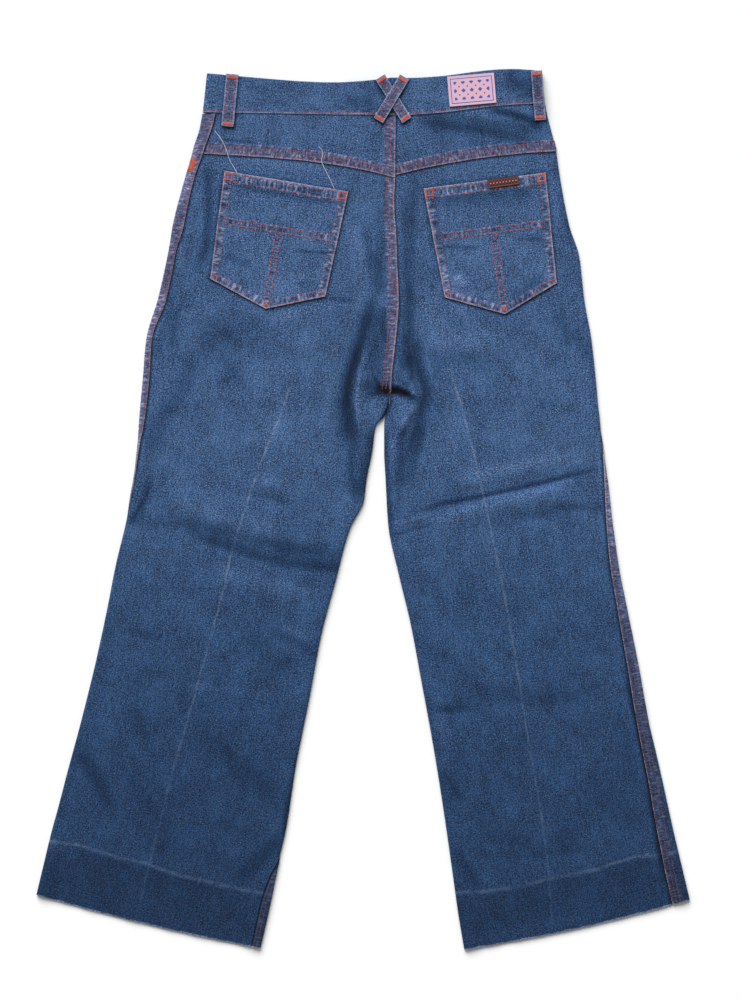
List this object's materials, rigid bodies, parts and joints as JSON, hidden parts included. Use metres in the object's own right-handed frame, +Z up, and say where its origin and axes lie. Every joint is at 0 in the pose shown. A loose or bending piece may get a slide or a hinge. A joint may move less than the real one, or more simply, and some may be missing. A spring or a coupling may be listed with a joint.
{
  "type": "wide leg jeans",
  "caption": "Wide leg denim jeans laid flat with the back up, with yokes, patch pockets and crossed belt loops.",
  "frame": {"origin": "centre of the bounding box's lower face, on the surface that the jeans lie on", "axes": "+X to the wearer's right, +Y towards the waist, +Z up, out of the back of the jeans"},
  "size_m": [0.7389, 0.9941, 0.0153],
  "materials": {
    "denim": "mid-blue washed denim, matt",
    "label_pink": "pink woven label",
    "tab_dark": "dark woven tab",
    "button_metal": "dull metal button"
  },
  "bodies": {
    "root": {"back_left": "denim", "back_right": "denim", "front_left": "denim", "front_right": "denim", "yoke_left": "denim", "yoke_right": "denim", "waistband": "denim", "loop_side_left": "denim", "loop_side_right": "denim", "loop_cross_under": "denim", "loop_cross_over": "denim", "pocket_left": "denim", "pocket_right": "denim", "pocket_tab": "tab_dark", "waist_label": "label_pink", "waist_button": "button_metal"}
  },
  "joints": []
}
